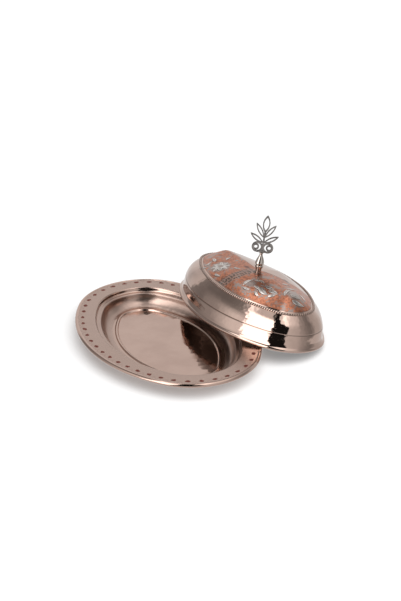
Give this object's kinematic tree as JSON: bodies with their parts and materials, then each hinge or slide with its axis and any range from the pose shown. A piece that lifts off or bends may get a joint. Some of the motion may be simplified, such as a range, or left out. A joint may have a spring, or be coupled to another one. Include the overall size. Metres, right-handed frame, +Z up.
{
  "type": "lidded oval sweet dish",
  "caption": "Oval hammered-metal dish with a wide dotted rim and a domed lid with an openwork finial, which holds and serves small sweets.",
  "frame": {"origin": "middle of the dish's flat underside, on the table", "axes": "+Z up, X along the dish's length, +Y from the dish towards the lid that leans against it"},
  "size_m": [0.21, 0.2087, 0.1012],
  "materials": {
    "tinned_dish": "polished tin over copper, hammered bowl",
    "tinned_lid": "polished tin over copper, hammered wall, engraved copper panels",
    "wire": "drawn copper wire",
    "finial_metal": "turned and polished",
    "ornament_metal": "sawn plate, polished",
    "fastener": "plated"
  },
  "bodies": {
    "dish": {"dish_pan": "tinned_dish", "dish_rim_wire": "wire"},
    "lid": {"lid_shell": "tinned_lid", "lid_rim_wire": "wire", "finial_collar": "finial_metal", "finial_stem": "finial_metal", "finial_ornament": "ornament_metal", "finial_washer": "fastener", "finial_screw": "fastener"}
  },
  "joints": [
    {"name": "lid_lift", "type": "slide", "parent": "dish", "child": "lid", "axis": [0, 0, 1], "range_m": [0, 0.12]}
  ]
}
